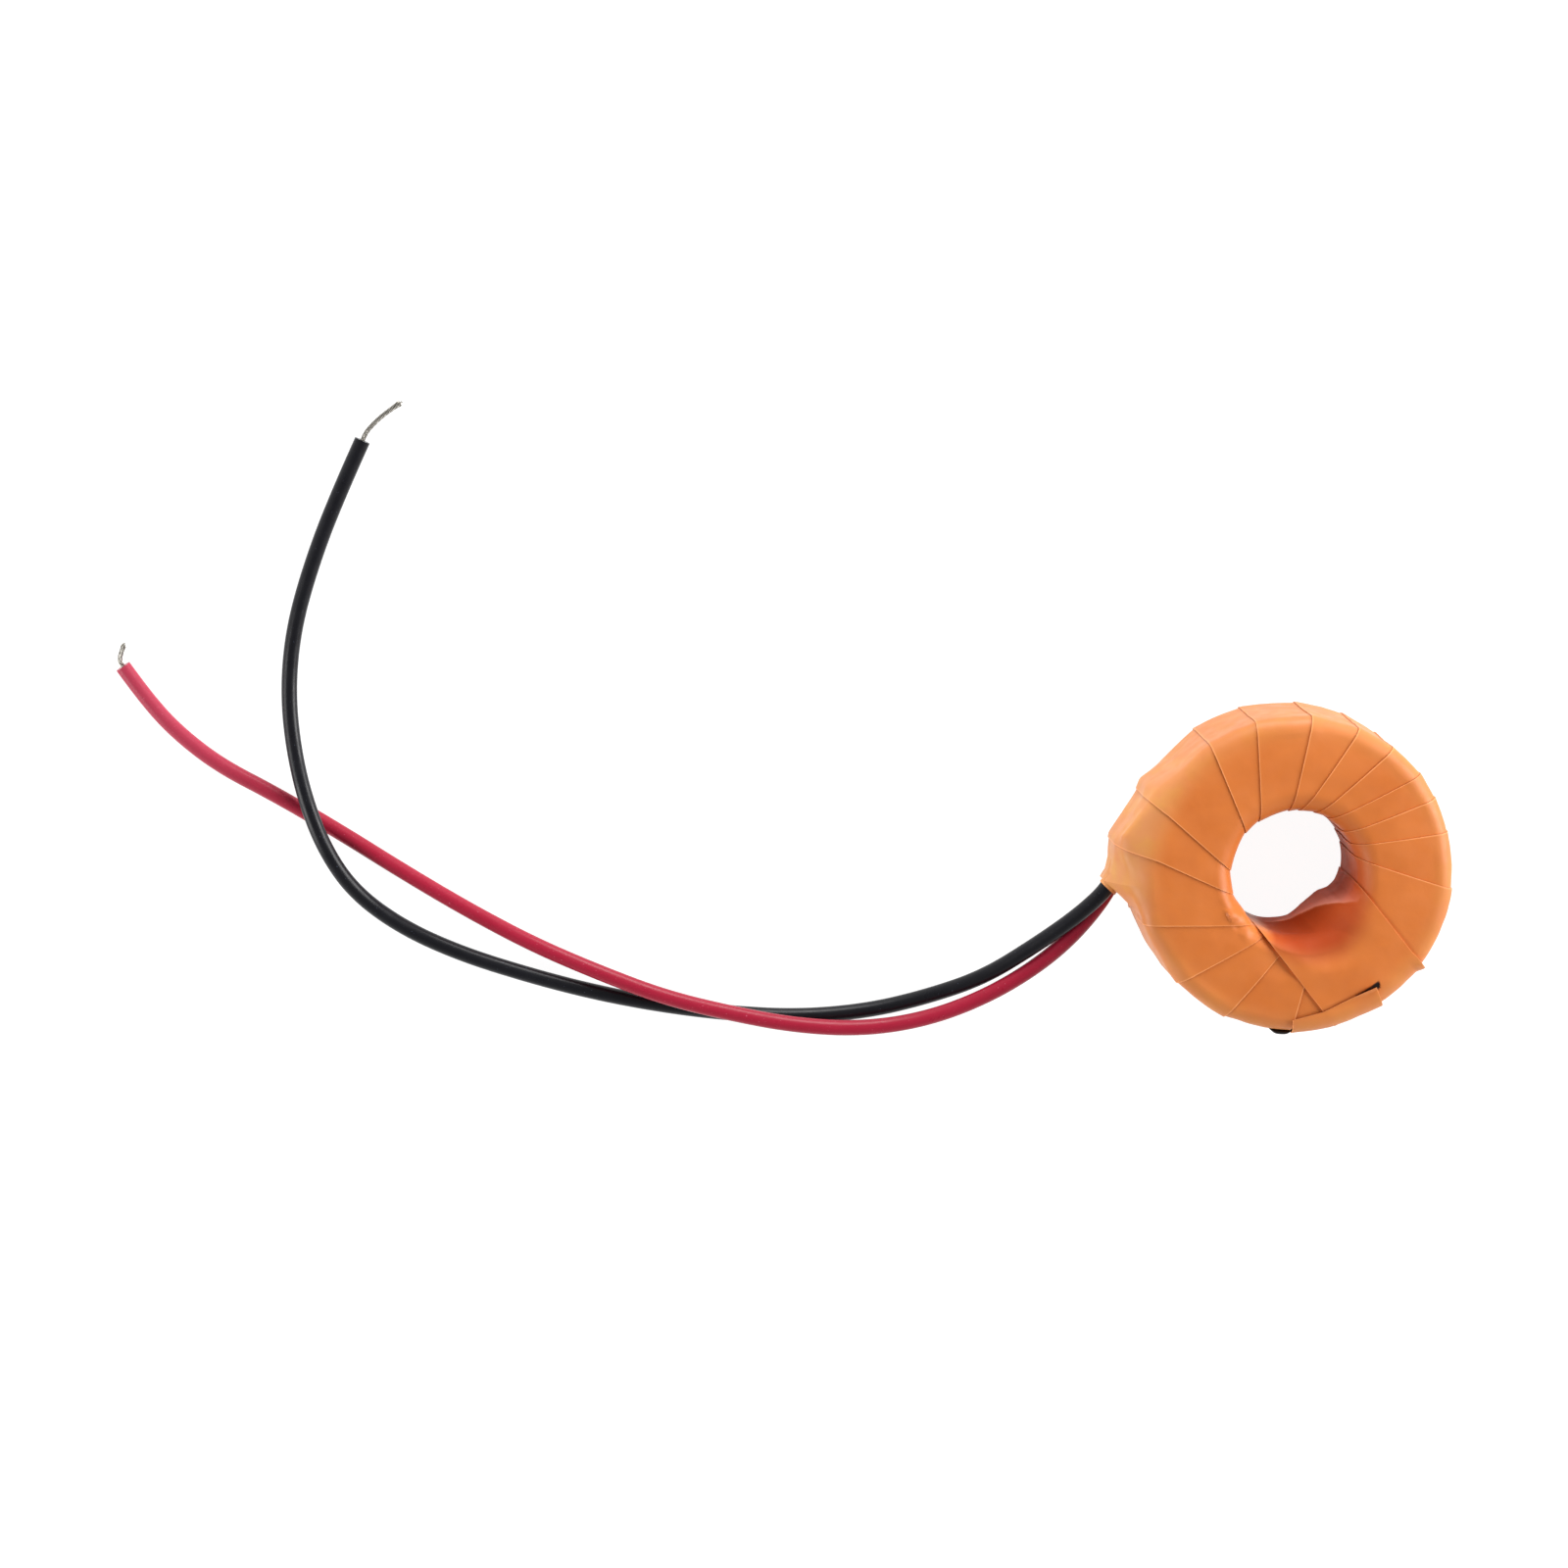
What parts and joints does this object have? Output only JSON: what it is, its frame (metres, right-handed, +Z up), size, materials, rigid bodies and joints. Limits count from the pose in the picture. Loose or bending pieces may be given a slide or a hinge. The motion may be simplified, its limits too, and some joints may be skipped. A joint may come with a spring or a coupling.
{
  "type": "current transformer",
  "caption": "Ring current transformer wrapped in orange tape, with an open window for the primary conductor and a red and a black lead with bare tinned ends.",
  "frame": {"origin": "On the axis of the ring's window, in the plane that the ring rests on.", "axes": "+Z up along the window's axis; the leads leave the ring on its -X side."},
  "size_m": [0.1348, 0.0649, 0.0127],
  "materials": {
    "orange_tape": "semi-gloss film tape",
    "pale_tape": "semi-gloss film tape",
    "copper_wire": "enamelled copper",
    "case_plastic": "moulded",
    "core_strip": "wound strip",
    "solder": "bright solder",
    "insulating_board": "smooth",
    "black_strip": "smooth",
    "red_jacket": "extruded",
    "black_jacket": "extruded",
    "tinned_wire": "tinned copper strands"
  },
  "bodies": {
    "root": {"outer_tape": "orange_tape", "inner_tape": "pale_tape", "winding": "copper_wire", "core_case": "case_plastic", "core_case_lid": "case_plastic", "strip_core": "core_strip", "joint_pad": "insulating_board", "black_tab": "black_strip", "black_solder_joint": "solder", "red_solder_joint": "solder", "black_lead": "black_jacket", "red_lead": "red_jacket", "black_lead_strands": "tinned_wire", "red_lead_strands": "tinned_wire"}
  },
  "joints": []
}
